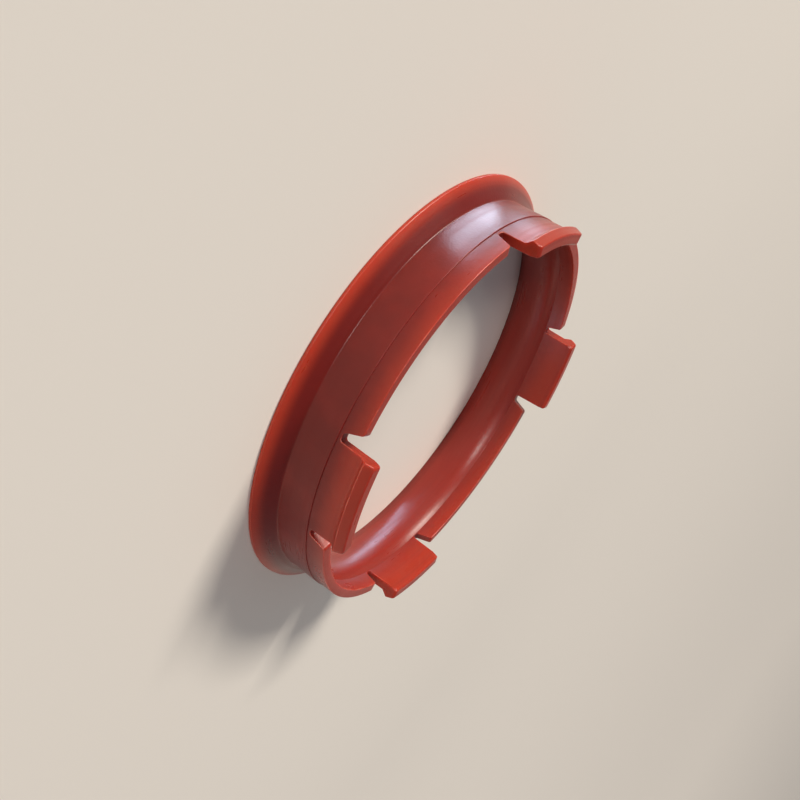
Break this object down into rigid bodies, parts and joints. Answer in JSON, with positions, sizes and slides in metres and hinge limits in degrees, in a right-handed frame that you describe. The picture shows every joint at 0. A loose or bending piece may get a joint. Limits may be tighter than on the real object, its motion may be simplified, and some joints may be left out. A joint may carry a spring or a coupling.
{
  "type": "hub centric ring",
  "caption": "Moulded plastic hub centric ring: a conical flange, a plain pilot band and snap-in barbed clip tabs around a bore that slides over a wheel hub's spigot.",
  "frame": {"origin": "on the ring's axis, in the plane of the flange's flat back face", "axes": "+Z along the ring's axis, from the flange towards the clip tabs; +X and +Y each through the middle of a tab"},
  "size_m": [0.079, 0.079, 0.0156],
  "materials": {
    "ring_plastic": "satin terracotta red moulded plastic"
  },
  "bodies": {
    "root": {"hub_ring": "ring_plastic"}
  },
  "joints": []
}
